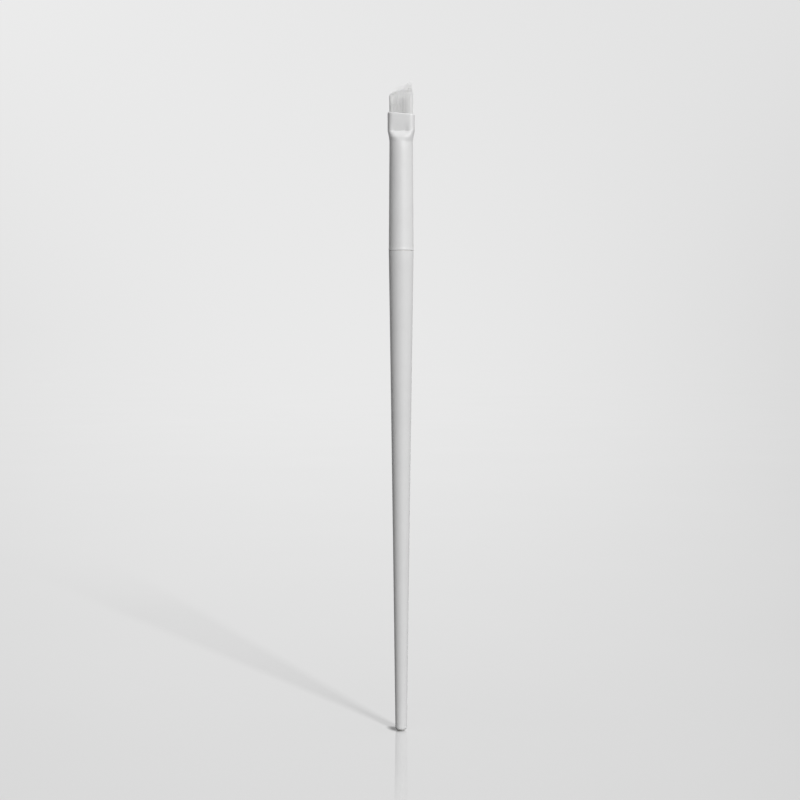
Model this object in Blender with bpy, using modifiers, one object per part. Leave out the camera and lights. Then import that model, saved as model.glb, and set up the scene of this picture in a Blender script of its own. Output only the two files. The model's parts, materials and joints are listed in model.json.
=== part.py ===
"""Angled liner brush: a turned handle, a tube ferrule crimped flat at its mouth, and a slanted tuft.

The butt stands on the origin and the brush points up +Z. The flat sides face -Y and +Y, and the
long side of the tuft is at +X. All lengths are in metres.
"""

import math

import bmesh
import bpy
from mathutils import Matrix

# Handle
HANDLE_LENGTH = 0.125
SHOULDER_RADIUS = 0.00322
BUTT_RADIUS = 0.0015
BUTT_FLAT_RADIUS = 0.00055
BUTT_ROUND_HEIGHT = 0.0009
SIDE_HOLLOW = 0.00004
SHOULDER_CHAMFER = 0.00015
TENON_LENGTH = 0.0155
TENON_CHAMFER = 0.0004

# Ferrule
FERRULE_LENGTH = 0.0355
FERRULE_WALL = 0.0003
FERRULE_FOOT_RADIUS = 0.00321
NECK_RADIUS = 0.00303
LIP_PROUD = 0.00013
LIP_HEIGHT = 0.0004
CRIMP_WIDTH = 0.00702
CRIMP_THICKNESS = 0.0038
CRIMP_HEIGHT = 0.0047
CRIMP_SHOULDER_HEIGHT = 0.003
RIM_BEVEL = 0.00008

# Tuft and the resin that holds it
TUFT_SHORT_SIDE = 0.0047
TUFT_LONG_SIDE = 0.0092
TUFT_CUT_CROWN = 0.0005
TUFT_EDGE_THICKNESS = 0.0009
TUFT_FLARE = 0.00015
STRAND_RADIUS = 0.00007
STRAND_PITCH = 0.000225
ROOT_DEPTH = 0.0032
ROOT_SLICE_THICKNESS = 0.001
ROOT_PLUG_LENGTH = 0.0085

# Clearances between pieces, and the distance within which points are one
SEAT_GAP = 0.0003
TENON_GAP = 0.0003
FILM_GAP = 0.00007
PLUG_GAP = 0.0003
TUFT_GAP = 0.0001
MERGE_DISTANCE = 0.000001

# Form of the crimp and of the strands, as powers and shares
CRIMP_FLATNESS = 5.0
SHOULDER_BEND = 1.5
TUFT_THINNING = 1.3
STRAND_BEND_SHARE = 0.72
STRAND_BEND_RADIUS_SHARE = 0.8
OUTER_ROW_SHARE = 0.94

# Facets
SIDES = 48
STRAND_SIDES = 3
BUTT_STEPS = 5
HANDLE_STEPS = 12
BODY_STEPS = 4
SHOULDER_STEPS = 7
SMOOTH_ANGLE = math.radians(35.0)
RIM_ANGLE = math.radians(60.0)

# Heights up the brush
FERRULE_FOOT = HANDLE_LENGTH + SEAT_GAP
MOUTH = FERRULE_FOOT + FERRULE_LENGTH
CRIMP_START = MOUTH - CRIMP_HEIGHT
NECK = CRIMP_START - CRIMP_SHOULDER_HEIGHT
LIP_TOP = FERRULE_FOOT + LIP_HEIGHT
BODY_START = LIP_TOP + LIP_PROUD
TENON_TOP = HANDLE_LENGTH + TENON_LENGTH
SLICE_TOP = MOUTH - ROOT_DEPTH
SLICE_BOTTOM = SLICE_TOP - ROOT_SLICE_THICKNESS
PLUG_TOP = SLICE_BOTTOM - SEAT_GAP
PLUG_BOTTOM = PLUG_TOP - ROOT_PLUG_LENGTH


def clear_scene():
    for old in list(bpy.data.objects):
        bpy.data.objects.remove(old, do_unlink=True)


def new_collection(name):
    collection = bpy.data.collections.new(name)
    bpy.context.scene.collection.children.link(collection)
    return collection


def surface(name, colour, roughness, metallic):
    """A Principled material of one colour."""
    material = bpy.data.materials.new(name)
    material.use_nodes = True
    shader = material.node_tree.nodes["Principled BSDF"]
    shader.inputs["Base Color"].default_value = (*colour, 1.0)
    shader.inputs["Roughness"].default_value = roughness
    shader.inputs["Metallic"].default_value = metallic
    return material


def add_piece(name, mesh, base, material, collection, parent=None):
    """Adds an object whose origin lies on the brush's axis at the height of its base."""
    mesh.transform(Matrix.Translation((0.0, 0.0, -base)))
    mesh.materials.clear()
    mesh.materials.append(material)
    mesh.shade_smooth()
    mesh.set_sharp_from_angle(angle=SMOOTH_ANGLE)
    piece = bpy.data.objects.new(name, mesh)
    piece.location = (0.0, 0.0, base)
    piece.parent = parent
    collection.objects.link(piece)
    return piece


def turned_mesh(name, profile, closed=False):
    """Turns a profile of (radius, height) points, top to bottom, once round Z."""
    line = bpy.data.meshes.new(name)
    points = [(radius, 0.0, height) for radius, height in profile]
    edges = [(index, index + 1) for index in range(len(points) - 1)]
    if closed:
        edges.append((len(points) - 1, 0))
    line.from_pydata(points, edges, [])
    guide = bpy.data.objects.new(name, line)
    bpy.context.scene.collection.objects.link(guide)
    screw = guide.modifiers.new("turn", "SCREW")
    screw.angle = 2.0 * math.pi
    screw.steps = SIDES
    screw.render_steps = SIDES
    screw.use_merge_vertices = True
    screw.merge_threshold = MERGE_DISTANCE
    graph = bpy.context.evaluated_depsgraph_get()
    mesh = bpy.data.meshes.new_from_object(guide.evaluated_get(graph))
    bpy.data.objects.remove(guide, do_unlink=True)
    return mesh


def add_loft(work, rings, capped):
    """Joins rings of points, lowest first and each anticlockwise from above, with quads."""
    rows = [[work.verts.new(point) for point in ring] for ring in rings]
    for lower, upper in zip(rows, rows[1:]):
        for side, start in enumerate(lower):
            after = (side + 1) % len(lower)
            work.faces.new((start, lower[after], upper[after], upper[side]))
    if capped:
        work.faces.new(reversed(rows[0]))
        work.faces.new(rows[-1])
    return rows


def loft_mesh(name, rings, capped):
    mesh = bpy.data.meshes.new(name)
    work = bmesh.new()
    add_loft(work, rings, capped)
    work.to_mesh(mesh)
    work.free()
    return mesh


def climb(low, high, steps):
    """Heights in even steps from just above low up to high."""
    return [low + (high - low) * step / steps for step in range(1, steps + 1)]


def handle_radius(height):
    """The handle's side is a straight taper, drawn in a little at mid length."""
    share = height / HANDLE_LENGTH
    straight = BUTT_RADIUS + (SHOULDER_RADIUS - BUTT_RADIUS) * share
    return straight - SIDE_HOLLOW * 4.0 * share * (1.0 - share)


def tube_radius(height):
    """The ferrule's outer radius, from its foot to its neck, before it was crimped."""
    share = (height - FERRULE_FOOT) / (NECK - FERRULE_FOOT)
    return FERRULE_FOOT_RADIUS + (NECK_RADIUS - FERRULE_FOOT_RADIUS) * share


def pressed_share(height):
    """How far the tube is pressed: 0 up to the neck, 1 from the crimp's start to the mouth."""
    share = (height - NECK) / (CRIMP_START - NECK)
    return min(max(share, 0.0), 1.0) ** SHOULDER_BEND


def oval_sizes(height, inset):
    """Half width, half thickness and flatness of the tube at a height, moved in by the inset."""
    pressed = pressed_share(height)
    radius = tube_radius(min(height, NECK))
    half_width = radius + (CRIMP_WIDTH / 2.0 - radius) * pressed
    half_thickness = radius + (CRIMP_THICKNESS / 2.0 - radius) * pressed
    flatness = 2.0 + (CRIMP_FLATNESS - 2.0) * pressed
    return half_width - inset, half_thickness - inset, flatness


def oval_ring(height, inset=0.0):
    """One section of the tube: a circle at the neck that grows into a flat oval with round ends.

    Through is the sine of the angle. Across is its cosine to the power 2 / flatness, so that a
    flatness of 2 gives a circle and a larger one flattens the broad sides.
    """
    half_width, half_thickness, flatness = oval_sizes(height, inset)
    ring = []
    for side in range(SIDES):
        cosine = math.cos(2.0 * math.pi * side / SIDES)
        sine = math.sin(2.0 * math.pi * side / SIDES)
        across = math.copysign(abs(cosine) ** (2.0 / flatness), cosine)
        ring.append((half_width * across, half_thickness * sine, height))
    return ring


def make_handle(material, collection, parent):
    """The wooden handle: tenon, shoulder, long taper and rounded butt."""
    bore_inset = FERRULE_WALL + TENON_GAP
    tenon_foot_radius = tube_radius(FERRULE_FOOT) - bore_inset
    tenon_top_radius = tube_radius(TENON_TOP) - bore_inset
    side_top = HANDLE_LENGTH - SHOULDER_CHAMFER
    profile = [
        (0.0, TENON_TOP),
        (tenon_top_radius - TENON_CHAMFER, TENON_TOP),
        (tenon_top_radius, TENON_TOP - TENON_CHAMFER),
        (tenon_foot_radius, HANDLE_LENGTH),
        (handle_radius(HANDLE_LENGTH) - SHOULDER_CHAMFER, HANDLE_LENGTH),
    ]
    for height in reversed(climb(BUTT_ROUND_HEIGHT, side_top, HANDLE_STEPS)):
        profile.append((handle_radius(height), height))
    round_reach = handle_radius(BUTT_ROUND_HEIGHT) - BUTT_FLAT_RADIUS
    for step in range(BUTT_STEPS + 1):
        angle = math.pi / 2.0 * step / BUTT_STEPS
        radius = BUTT_FLAT_RADIUS + round_reach * math.cos(angle)
        profile.append((radius, BUTT_ROUND_HEIGHT * (1.0 - math.sin(angle))))
    profile.append((0.0, 0.0))
    return add_piece("handle", turned_mesh("handle", profile), 0.0, material, collection, parent)


def make_ferrule(material, collection, parent):
    """The tube: a proud lip at its foot, a round body, a shoulder and the crimp, walled inwards."""
    heights = [BODY_START]
    heights += climb(BODY_START, NECK, BODY_STEPS)
    heights += climb(NECK, CRIMP_START, SHOULDER_STEPS)
    heights.append(MOUTH)
    rings = [oval_ring(FERRULE_FOOT, -LIP_PROUD), oval_ring(LIP_TOP, -LIP_PROUD)]
    rings += [oval_ring(height) for height in heights]
    mesh = loft_mesh("ferrule", rings, capped=False)
    ferrule = add_piece("ferrule", mesh, FERRULE_FOOT, material, collection, parent)
    wall = ferrule.modifiers.new("wall", "SOLIDIFY")
    wall.thickness = FERRULE_WALL
    wall.offset = -1.0
    wall.use_even_offset = True
    rims = ferrule.modifiers.new("rims", "BEVEL")
    rims.width = RIM_BEVEL
    rims.segments = 1
    rims.limit_method = "ANGLE"
    rims.angle_limit = RIM_ANGLE
    return ferrule


def make_tenon_glue(material, collection, parent):
    """The film of adhesive between the tenon and the ferrule's bore."""
    top = TENON_TOP - TENON_CHAMFER
    outer_inset = FERRULE_WALL + FILM_GAP
    inner_inset = FERRULE_WALL + TENON_GAP - FILM_GAP
    profile = [
        (tube_radius(top) - inner_inset, top),
        (tube_radius(top) - outer_inset, top),
        (tube_radius(BODY_START) - outer_inset, BODY_START),
        (tube_radius(BODY_START) - inner_inset, BODY_START),
    ]
    mesh = turned_mesh("tenon_glue", profile, closed=True)
    return add_piece("tenon_glue", mesh, BODY_START, material, collection, parent)


def make_root_plug(material, collection, parent):
    """The set resin that fills the ferrule's neck and shoulder below the roots."""
    heights = [PLUG_BOTTOM, NECK]
    heights += climb(NECK, CRIMP_START, SHOULDER_STEPS)
    heights.append(PLUG_TOP)
    rings = [oval_ring(height, FERRULE_WALL + PLUG_GAP) for height in heights]
    mesh = loft_mesh("root_plug", rings, capped=True)
    return add_piece("root_plug", mesh, PLUG_BOTTOM, material, collection, parent)


def strand_places():
    """Staggered rows that fill the mouth: (across, through) as shares of its half sizes."""
    inset = FERRULE_WALL + TUFT_GAP + STRAND_RADIUS
    half_width, half_thickness, flatness = oval_sizes(MOUTH, inset)
    columns = round(half_width / STRAND_PITCH)
    rows = round(half_thickness / (STRAND_PITCH * math.sin(math.pi / 3.0)))
    places = []
    for row in range(-rows, rows + 1):
        for column in range(-columns, columns + 1):
            across = (column + 0.5 * (row % 2)) / columns
            through = row / rows * OUTER_ROW_SHARE
            if abs(across) ** flatness + through**2 <= 1.0:
                places.append((across, through))
    return places


def cut_height(across):
    """The slanted cut, from the short side at -1 to the long side at +1, crowned at its middle."""
    share = (across + 1.0) / 2.0
    slant = TUFT_SHORT_SIDE + (TUFT_LONG_SIDE - TUFT_SHORT_SIDE) * share
    return MOUTH + slant + TUFT_CUT_CROWN * 4.0 * share * (1.0 - share)


def strand_centre(across, through, height):
    """A strand's centre line: straight in the ferrule, then fanned across and drawn in through."""
    inset = FERRULE_WALL + TUFT_GAP + STRAND_RADIUS
    half_width, half_thickness, _ = oval_sizes(min(height, MOUTH), inset)
    free_share = max(height - MOUTH, 0.0) / (cut_height(across) - MOUTH)
    fanned = half_width + TUFT_FLARE * free_share
    drawn_in = (half_thickness - TUFT_EDGE_THICKNESS / 2.0) * free_share**TUFT_THINNING
    return fanned * across, (half_thickness - drawn_in) * through, height


def strand_ring(centre, radius):
    """A small ring of points, level, about a point of a strand's centre line."""
    x, y, z = centre
    angles = [2.0 * math.pi * side / STRAND_SIDES for side in range(STRAND_SIDES)]
    return [(x + radius * math.cos(angle), y + radius * math.sin(angle), z) for angle in angles]


def add_strand(work, across, through):
    """One strand: a rod from inside the resin slice to the cut, tapered from its bend to a point."""
    root = (SLICE_BOTTOM + SLICE_TOP) / 2.0
    tip = cut_height(across)
    bend = MOUTH + (tip - MOUTH) * STRAND_BEND_SHARE
    rings = [
        strand_ring(strand_centre(across, through, root), STRAND_RADIUS),
        strand_ring(strand_centre(across, through, MOUTH), STRAND_RADIUS),
        strand_ring(strand_centre(across, through, bend), STRAND_RADIUS * STRAND_BEND_RADIUS_SHARE),
    ]
    rows = add_loft(work, rings, capped=False)
    work.faces.new(reversed(rows[0]))
    point = work.verts.new(strand_centre(across, through, tip))
    for side, start in enumerate(rows[-1]):
        work.faces.new((start, rows[-1][(side + 1) % STRAND_SIDES], point))


def make_bristle_tuft(material, collection, cutters, parent):
    """The strands, joined to the slice of resin that binds their roots."""
    strands_mesh = bpy.data.meshes.new("strands")
    work = bmesh.new()
    for across, through in strand_places():
        add_strand(work, across, through)
    work.to_mesh(strands_mesh)
    work.free()
    strands = add_piece("strands", strands_mesh, MOUTH, material, cutters, parent)
    strands.hide_render = True
    strands.display_type = "WIRE"
    rings = [oval_ring(height, FERRULE_WALL + TUFT_GAP) for height in (SLICE_BOTTOM, SLICE_TOP)]
    slice_mesh = loft_mesh("bristle_tuft", rings, capped=True)
    tuft = add_piece("bristle_tuft", slice_mesh, MOUTH, material, collection, parent)
    join = tuft.modifiers.new("strands", "BOOLEAN")
    join.operation = "UNION"
    join.solver = "EXACT"
    join.object = strands
    return tuft


def main():
    clear_scene()
    brush = new_collection("angled_liner_brush")
    cutters = new_collection("angled_liner_brush_cutters")
    axis = bpy.data.objects.new("brush_axis", None)
    brush.objects.link(axis)
    lacquered_wood = surface("pale_grey_lacquer", (0.60, 0.60, 0.60), 0.38, 0.0)
    coated_tube = surface("pale_grey_coated_aluminium", (0.62, 0.62, 0.62), 0.30, 0.0)
    filament = surface("white_filament", (0.80, 0.80, 0.79), 0.45, 0.0)
    resin = surface("clear_set_resin", (0.72, 0.68, 0.56), 0.30, 0.0)
    adhesive = surface("tenon_adhesive", (0.78, 0.74, 0.62), 0.40, 0.0)
    make_handle(lacquered_wood, brush, axis)
    make_ferrule(coated_tube, brush, axis)
    make_tenon_glue(adhesive, brush, axis)
    make_root_plug(resin, brush, axis)
    make_bristle_tuft(filament, brush, cutters, axis)


main()
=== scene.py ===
import json
import math

import bpy
import numpy as np
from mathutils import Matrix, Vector


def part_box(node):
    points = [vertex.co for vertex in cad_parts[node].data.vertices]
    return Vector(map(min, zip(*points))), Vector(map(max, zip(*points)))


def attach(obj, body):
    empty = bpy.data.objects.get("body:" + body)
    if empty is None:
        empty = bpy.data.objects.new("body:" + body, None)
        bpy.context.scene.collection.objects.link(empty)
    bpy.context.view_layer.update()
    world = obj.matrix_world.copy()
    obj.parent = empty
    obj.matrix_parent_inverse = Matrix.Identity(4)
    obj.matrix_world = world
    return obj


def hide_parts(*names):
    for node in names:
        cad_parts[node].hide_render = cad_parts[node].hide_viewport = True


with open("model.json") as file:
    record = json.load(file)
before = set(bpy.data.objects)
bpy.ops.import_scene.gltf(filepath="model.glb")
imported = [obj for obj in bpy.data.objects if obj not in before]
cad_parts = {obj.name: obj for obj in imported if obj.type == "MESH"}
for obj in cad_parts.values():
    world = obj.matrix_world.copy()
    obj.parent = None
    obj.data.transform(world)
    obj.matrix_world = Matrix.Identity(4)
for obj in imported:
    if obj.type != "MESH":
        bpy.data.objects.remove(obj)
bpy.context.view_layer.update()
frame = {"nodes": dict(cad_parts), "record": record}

# An angled liner brush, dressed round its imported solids. Lengths are in metres. The butt stands on the
# origin, the brush points up +Z, the broad sides of the crimp face -Y and +Y, and the long side of the
# tuft is at +X.

# Sizes read from the solids
handle_low, handle_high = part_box("handle")
ferrule_low, ferrule_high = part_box("ferrule")
tuft_low, tuft_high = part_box("bristle_tuft")
BUTT, TENON_TOP = handle_low.z, handle_high.z
FERRULE_FOOT, MOUTH = ferrule_low.z, ferrule_high.z
CRIMP_HALF_WIDTH, LIP_RADIUS = ferrule_high.x, ferrule_high.y
SLICE_BOTTOM, TUFT_TOP = tuft_low.z, tuft_high.z

# Handle
FOOT_GAP = 0.00005
SHOULDER = FERRULE_FOOT - FOOT_GAP
SHOULDER_RADIUS = 0.00322
SHOULDER_ROUND = 0.00012
BUTT_RADIUS = 0.0015
BUTT_FLAT_RADIUS = 0.00055
BUTT_ROUND_HEIGHT = 0.0009
SIDE_HOLLOW = 0.00004
TENON_CLEARANCE = 0.0003
TENON_CHAMFER = 0.0004
INNER_RING_SHARE = 0.5

# Ferrule
WALL = 0.0003
NECK = MOUTH - 0.0077
CRIMP_START = MOUTH - 0.0047
NECK_RADIUS = 0.00303
CRIMP_HALF_THICKNESS = 0.0019
CRIMP_FLATNESS = (5.0, 11.0)
SHOULDER_BEND = 1.5
PRESSED_START = CRIMP_START - 0.00035
PRESSED_NECK = PRESSED_START - 0.0016
PRESSED_BEND = 1.7
DRAWN_START = MOUTH - 0.0108
DRAWN_DEPTH = 0.0003
CREASE_SOFTNESS = 0.03
CORNER_RISE = 0.0013
CORNER_POWER = 6.0
LIP_PROUD = 0.00013
LIP_SHOWN = 0.00005
LIP_HEIGHT = 0.0001
LIP_FADE = 0.0007
LIP_ROUND = 0.00005
PANEL_DEPTH = 0.0003
PANEL_SIDES = (-0.84, 0.74)
PANEL_SOFTNESS = 0.42
PANEL_TOP = MOUTH - 0.0005
PANEL_POWER = 2.0
PANEL_EDGE = 0.0004
PANEL_FOOT_DROP = 0.0002
MOUTH_SLANT = 0.0006
RIM_ROUND = 0.00013
RIM_ROUND_HEIGHT = 0.00042

# Tuft
SHORT_SIDE = 0.0047
LONG_SIDE = 0.0092
CUT_CROWN = 0.0005
CHISEL_HALF_THICKNESS = 0.00045
TUFT_FLARE = 0.00015
TUFT_THINNING = 1.3
TUFT_CLEARANCE = 0.0001
TUFT_FLATNESS = 6.0
SLICE_THICKNESS = 0.001
FILAMENT_RADIUS = 0.000034
FILAMENT_RADIUS_SPREAD = (0.85, 1.1)
FILAMENT_PITCH = 0.00008
FILAMENT_SEED = 7
FILAMENT_REACH_SHARES = (0.0, 0.3, 0.55, 0.75, 0.9, 1.0)
FILAMENT_RADIUS_SHARES = (1.0, 1.0, 1.0, 1.0, 0.9, 0.6)
TUFT_INSET = WALL + TUFT_CLEARANCE + FILAMENT_RADIUS
TUFT_HALF_WIDTH = CRIMP_HALF_WIDTH - TUFT_INSET
TUFT_HALF_THICKNESS = CRIMP_HALF_THICKNESS - TUFT_INSET
ROOT_JITTER = 0.25
LOCKS = 46
LOCK_PULL = 0.16
LOCK_NARROWNESS = 3.0
SHORT_DROP = 0.00015
LONG_DROP = 0.0044
DROP_POWER = 0.15
LONG_FILAMENT_SHARE = 0.2
LONG_DROP_POWER = 1.0
THIN_REACH = 0.0006
THIN_SHARE = 0.45
END_SHARE = 0.1
END_KEPT = 0.05
SHORT_END = -0.965
STRAY = 0.00003
STRAND_TONE_SPREAD = 0.2

# Facets
SIDES = 160
SIDE_ROWS = 48
BODY_ROWS = 28
CRIMP_ROWS = 72
ROUND_ROWS = 8
SLICE_ROWS = 4
FILAMENT_SIDES = 4
FLOOR_SIDES = 96

# Colours
WHITE = (1.0, 1.0, 1.0, 1.0)
BLACK = (0.0, 0.0, 0.0, 1.0)
BARE_WOOD = (0.52, 0.45, 0.34, 1.0)
BARE_ALUMINIUM = (0.80, 0.80, 0.81, 1.0)
# A shaded and a lit copy of the filaments' one white, for painted shade low in the tuft and painted light
FILAMENT_SHADED_COLOUR = (0.8, 0.8, 0.796, 1.0)
FILAMENT_LIT_COLOUR = (0.91, 0.91, 0.908, 1.0)
FLOOR_COLOUR = (0.31, 0.31, 0.31, 1.0)

# Coat, grain, wear and resin in general
NOISE_SPAN = (0.3, 0.7)
COAT_TONES = (0.975, 1.02)
COAT_GLOSSES = (0.04, -0.04)
SPECK_CELLS = 0.55
SPECK_SPAN = (0.10, 0.05)
SPECK_RARITY = (0.60, 0.64)
SPECK_TONE = -0.07
SPECK_RISE = 0.6
LINE_SPAN = (0.42, 0.62)
WEAR_NEARNESS = 0.55
WEAR_SPAN = (0.92, 1.02)
RESIN_TONES = (0.88, 1.06)
BUBBLE_SPAN = (0.28, 0.12)

# Handle's lacquer
HANDLE_ROUGHNESS = 0.46
HANDLE_SPECULAR = 0.3
HANDLE_LINE_TONE = -0.012
HANDLE_LINE_RISE = -0.35
HANDLE_BUMP = 0.0000025
BARE_WOOD_SHARE = 0.6
BARE_WOOD_ROUGHNESS = 0.2

# Ferrule's coating
FERRULE_ROUGHNESS = 0.45
FERRULE_SPECULAR = 0.58
FERRULE_LINE_TONE = -0.008
FERRULE_LINE_RISE = -0.2
FERRULE_BUMP = 0.0000015
BARE_METALLIC = 0.7
DULL_HEIGHT = MOUTH - 0.005
DULL_SIDE = (0.0008, 0.0022)
DULL_REACH = (0.0008, 0.0022)
DULL_ROUGHNESS = 0.16

# Filament
FILAMENT_IOR = 1.4
FILAMENT_ROUGHNESSES = (0.34, 0.46)
FILAMENT_PEEL_SCALE = 16000.0
FILAMENT_BUMP = 0.0000008
# Painted light and painted shade on the filaments: paler towards the dense edge, the long side and the short
# end, darker at the long side, in a core right of the middle and at the very tips
PAINTED_LIGHT_HEIGHTS = (MOUTH + 0.0024, MOUTH + 0.0062)
PAINTED_LIGHT_LONG_SIDE = (0.0013, 0.0026)
PAINTED_LIGHT_LONG_SHARE = 0.25
PAINTED_LIGHT_SHORT_END = (-0.0026, -0.003)
PAINTED_LIGHT_GAIN = 0.05
STRAND_GAIN = 0.07
BAND_SCALE = 900.0
BAND_TONES = (0.9, 0.93)
PAINTED_SHADE_LONG_SIDE = (0.0017, 0.0031)
PAINTED_SHADE_LONG_TONE = 0.94
SHADED_CORE_MIDDLE = 0.0008
SHADED_CORE_SPAN = (0.0002, 0.0013)
SHADED_CORE_TONE = 0.94
SHADED_TIP_HEIGHTS = (MOUTH + 0.0066, MOUTH + 0.0082)
SHADED_TIP_TONE = 0.9

# Resin
RESIN_COAT = 0.3
BUBBLE_TONE = -0.12
BUBBLE_ROUGHNESS = 0.12
BUBBLE_BUMP = 0.00001

# Camera and lamp
CAMERA_AZIMUTH = math.radians(6.0)
CAMERA_TILT = math.radians(-2.4)
CAMERA_DISTANCE = 0.44
CAMERA_HEIGHT = 0.105
CAMERA_SIDE_STEP = -0.0003
CAMERA_LENS = 76.26
CAMERA_CLIP = (0.01, 50.0)
KEY_AZIMUTH = CAMERA_AZIMUTH + math.radians(25.6)
KEY_ELEVATION = math.radians(31.6)
KEY_DISTANCE = 4.8
KEY_SIZE = (0.54, 1.35)
KEY_POWER = 215.0
BRUSH_MIDDLE = Vector((0.0, 0.0, MOUTH / 2.0))

# Backdrop, with heights and sides as the upward and the rightward part of a direction of length 1
AMBIENT = 0.1
AMBIENT_FROM_SIDE = 0.19
AMBIENT_FROM_ABOVE = 0.36
BACKDROP_TONE = 0.813
SIDE_REACH = 0.3
SIDE_SLOPES = (-0.13, -0.17)
SLOPE_HEIGHT = 0.18
SIDE_BOW = -1.35
BOW_HEIGHT = 0.2
RISE_SLOPE = -0.07
RISE_HEIGHT = 0.3
SHADE_TONE = 0.04
SHADE_SIDES = (-0.3, -0.6)
SHADE_HEIGHTS = (0.15, 0.25)
OVERHEAD_GLOSS = 2.0
OVERHEAD_HEIGHTS = (0.55, 0.85)

# Floor
FLOOR_RADIUS = 8.0
FLOOR_RING_SHARES = (1.0, 0.2, 0.02)
FLOOR_DROP = 0.00001
FLOOR_ROUGHNESS = 0.02
FLOOR_IOR = 1.3
FLOOR_FRESNEL_SPAN = (0.1, 0.26)
FLOOR_GLOSS = 0.26
FLOOR_GLOSS_REACH = (0.03, 0.09)
FLOOR_BOUNCE = 0.2
FLOOR_BOUNCE_REACH = 0.1
FLOOR_LIT_ALL_ROUND = 0.106
FLOOR_LIT_BY_LAMP = 0.155
FLOOR_LIT_POWER = 3.0
FLOOR_FADE = (0.35, 1.5)
MOTTLE_SCALE = 9.0
MOTTLE_TONES = (0.996, 1.004)
NEAR_TONE = 0.664
NEAR_SHARE = 1.6
NEAR_REACH = 0.47
# Painted contact shadow: an ellipse at the butt where the floor's colour and glow are darkened
CONTACT_SHADE = 0.85
CONTACT_START = 0.0018
CONTACT_LENGTH = 0.0038
CONTACT_SIDE_STEP = -0.0008
CONTACT_WIDTH = 0.0019
CONTACT_FADE = (0.3, 1.2)


def around(sides):
    """Angles once round, evenly apart."""
    return 2.0 * math.pi * np.arange(sides) / sides


def parabola(share):
    """0 at both ends of a share and 1 in the middle."""
    return 4.0 * share * (1.0 - share)


def soft_cap(value, softness):
    """Follows value while it is well under 1 and levels off at 1, round a soft corner."""
    return 1.0 - softness * np.logaddexp(0.0, (1.0 - value) / softness)


def soft_step(value):
    """0 below 0, 1 above 1, and three times the square less twice the cube between."""
    share = np.clip(value, 0.0, 1.0)
    return share * share * (3.0 - 2.0 * share)


def loop_faces(rows, sides, closed=False):
    """Quads from each ring to the next, facing outwards where rings run upwards and points anticlockwise."""
    row, side = np.meshgrid(np.arange(rows if closed else rows - 1), np.arange(sides), indexing="ij")
    above, after = (row + 1) % rows, (side + 1) % sides
    corners = (row * sides + side, row * sides + after, above * sides + after, above * sides + side)
    return np.stack(corners, axis=-1).reshape(-1, 4)


def fan_faces(ring_start, sides, middle, facing_up=True):
    """Triangles from a ring's sides to a point at its middle."""
    side = np.arange(sides)
    after = (side + 1) % sides
    ends = (side, after) if facing_up else (after, side)
    return np.stack((ring_start + ends[0], ring_start + ends[1], np.full(sides, middle)), axis=-1)


def new_object(name, points, faces, material):
    """An object in the scene from arrays of points and faces."""
    mesh = bpy.data.meshes.new(name)
    mesh.from_pydata(points.reshape(-1, 3).tolist(), [], faces)
    mesh.materials.append(material)
    built = bpy.data.objects.new(name, mesh)
    bpy.context.scene.collection.objects.link(built)
    return built


def add_piece(name, points, faces, material, slot, *nodes):
    """Adds a smooth object that rides on the body and stands for CAD nodes."""
    piece = new_object(name, points, faces, material)
    piece.data.shade_smooth()
    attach(piece, "root")
    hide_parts(*nodes)
    return piece


def capped_points_and_faces(rings):
    """Rings of points closed at both ends by a point at the middle of the first and of the last ring."""
    rows, sides, _ = rings.shape
    ends = np.stack((rings[0].mean(axis=0), rings[-1].mean(axis=0)))
    points = np.concatenate((rings.reshape(-1, 3), ends))
    low_fan = fan_faces(0, sides, rows * sides, facing_up=False)
    high_fan = fan_faces((rows - 1) * sides, sides, rows * sides + 1)
    return points, loop_faces(rows, sides).tolist() + low_fan.tolist() + high_fan.tolist()


def quarter_round(start, end, rows, bulge_first):
    """Points of a quarter ellipse between two (radius, height) points.

    One coordinate follows the sine of an angle from 0 to 90 degrees and the other one minus its cosine, so
    the curve leaves its start along the radius when bulge_first is "radius", and along the height otherwise.
    """
    angle = np.linspace(0.0, math.pi / 2.0, rows)
    quick, slow = np.sin(angle), 1.0 - np.cos(angle)
    along_radius, along_height = (quick, slow) if bulge_first == "radius" else (slow, quick)
    radius = start[0] + (end[0] - start[0]) * along_radius
    height = start[1] + (end[1] - start[1]) * along_height
    return np.stack((radius, height), axis=-1)


def handle_radius(height):
    """A straight taper from the butt to the shoulder, drawn in by a shallow parabola at mid length."""
    share = height / SHOULDER
    return BUTT_RADIUS + (SHOULDER_RADIUS - BUTT_RADIUS) * share - SIDE_HOLLOW * parabola(share)


def tube_radius(height):
    """The ferrule's outer radius before the crimp, a straight taper from its foot to its neck."""
    share = np.clip((height - FERRULE_FOOT) / (NECK - FERRULE_FOOT), 0.0, 1.0)
    return LIP_RADIUS - LIP_PROUD + (NECK_RADIUS - LIP_RADIUS + LIP_PROUD) * share


def turned(profile):
    """Rings of points from a profile of (radius, height) points that is carried once round Z."""
    radius, height = profile[:, :1], profile[:, 1:]
    x, y = radius * np.cos(around(SIDES)), radius * np.sin(around(SIDES))
    return np.stack((x, y, height + 0.0 * x), axis=-1)


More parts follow.
